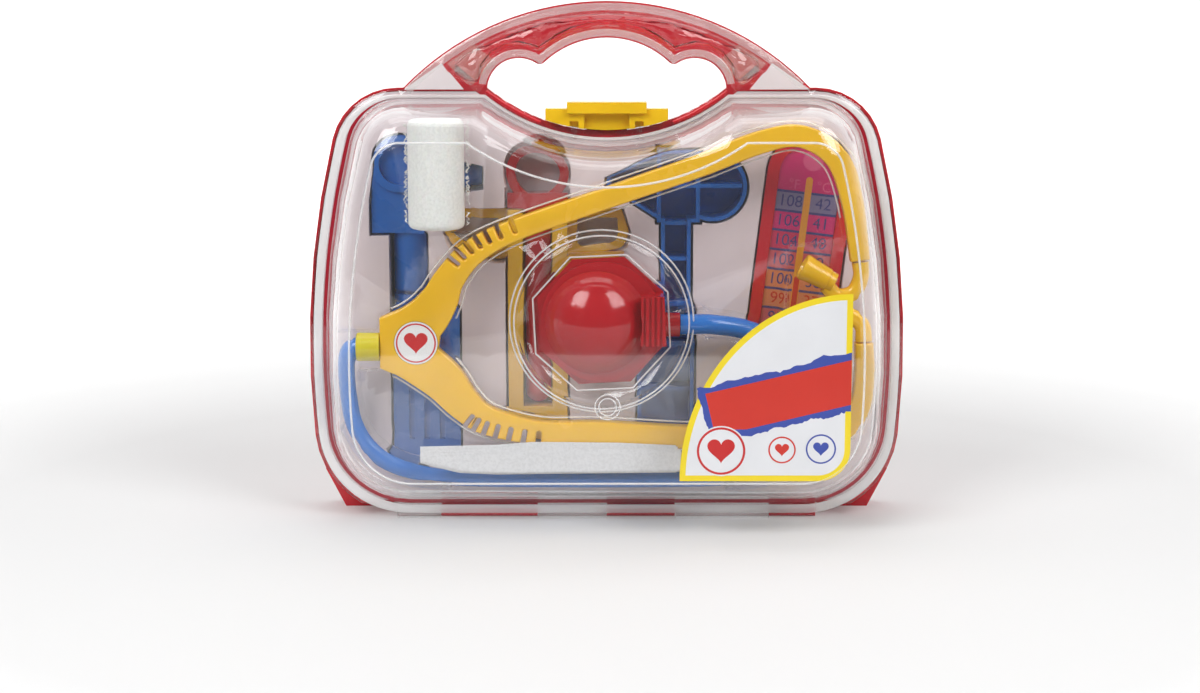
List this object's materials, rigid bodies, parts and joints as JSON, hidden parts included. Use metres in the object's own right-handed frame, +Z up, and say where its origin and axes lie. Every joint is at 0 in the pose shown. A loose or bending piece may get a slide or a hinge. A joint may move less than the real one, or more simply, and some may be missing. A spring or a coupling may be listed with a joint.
{
  "type": "toy doctor case",
  "caption": "Toy doctor case with a hinged clear lid over a red base with a handle and clip, holding a toy stethoscope, syringe, otoscope, hammer, thermometer, gauze roll and leaflet.",
  "frame": {"origin": "middle of the case's bounding box on the floor, with the case standing on its foot", "axes": "+X to the right seen from the lid, +Y from the lid to the base, +Z up to the handle"},
  "size_m": [0.2696, 0.08, 0.2342],
  "materials": {
    "clear_lid": "clear moulded styrene, glossy",
    "red_case": "red moulded plastic, glossy",
    "yellow_clip": "yellow moulded plastic",
    "pale_tray": "pale formed sheet, slightly see-through",
    "clear_insert": "thin clear formed sheet",
    "label_paper": "printed gloss sticker",
    "yellow_toy": "yellow moulded plastic",
    "badge_print": "printed disc",
    "lime_sleeve": "soft translucent sleeve",
    "blue_hose": "soft blue hose",
    "red_toy": "red moulded plastic",
    "gauze": "white gauze in film",
    "leaflet_paper": "thin folded paper",
    "blue_toy": "blue moulded plastic",
    "card_print": "printed card"
  },
  "bodies": {
    "base": {"back_shell": "red_case", "tray": "pale_tray", "otoscope_head": "blue_toy", "otoscope_cone": "blue_toy", "otoscope_handle": "blue_toy", "syringe_barrel": "yellow_toy", "reflex_hammer": "blue_toy", "thermometer_body": "red_toy", "thermometer_card": "card_print"},
    "lid": {"front_shell": "clear_lid", "front_insert": "clear_insert", "front_label": "label_paper", "stethoscope_yoke": "yellow_toy", "yoke_badge": "badge_print", "ear_tip_upper": "yellow_toy", "ear_tip_lower": "yellow_toy", "hose_connector": "lime_sleeve", "stethoscope_tube": "blue_hose", "chest_base": "red_toy", "chest_dome": "red_toy", "chest_grip": "red_toy", "bandage_roll": "gauze", "leaflet": "leaflet_paper"},
    "clip": {"latch": "yellow_clip"},
    "plunger": {"syringe_plunger": "red_toy"}
  },
  "joints": [
    {"name": "lid_hinge", "type": "hinge", "parent": "base", "child": "lid", "pos_m": [0, 0.006, 0.003], "axis": [1, 0, 0], "range_deg": [0, 175]},
    {"name": "clip_pivot", "type": "hinge", "parent": "base", "child": "clip", "pos_m": [0, 0.0102, 0.1825], "axis": [-1, 0, 0], "range_deg": [0, 70]},
    {"name": "plunger_slide", "type": "slide", "parent": "base", "child": "plunger", "axis": [0, 0, 1], "range_m": [0, 0.0012]}
  ]
}
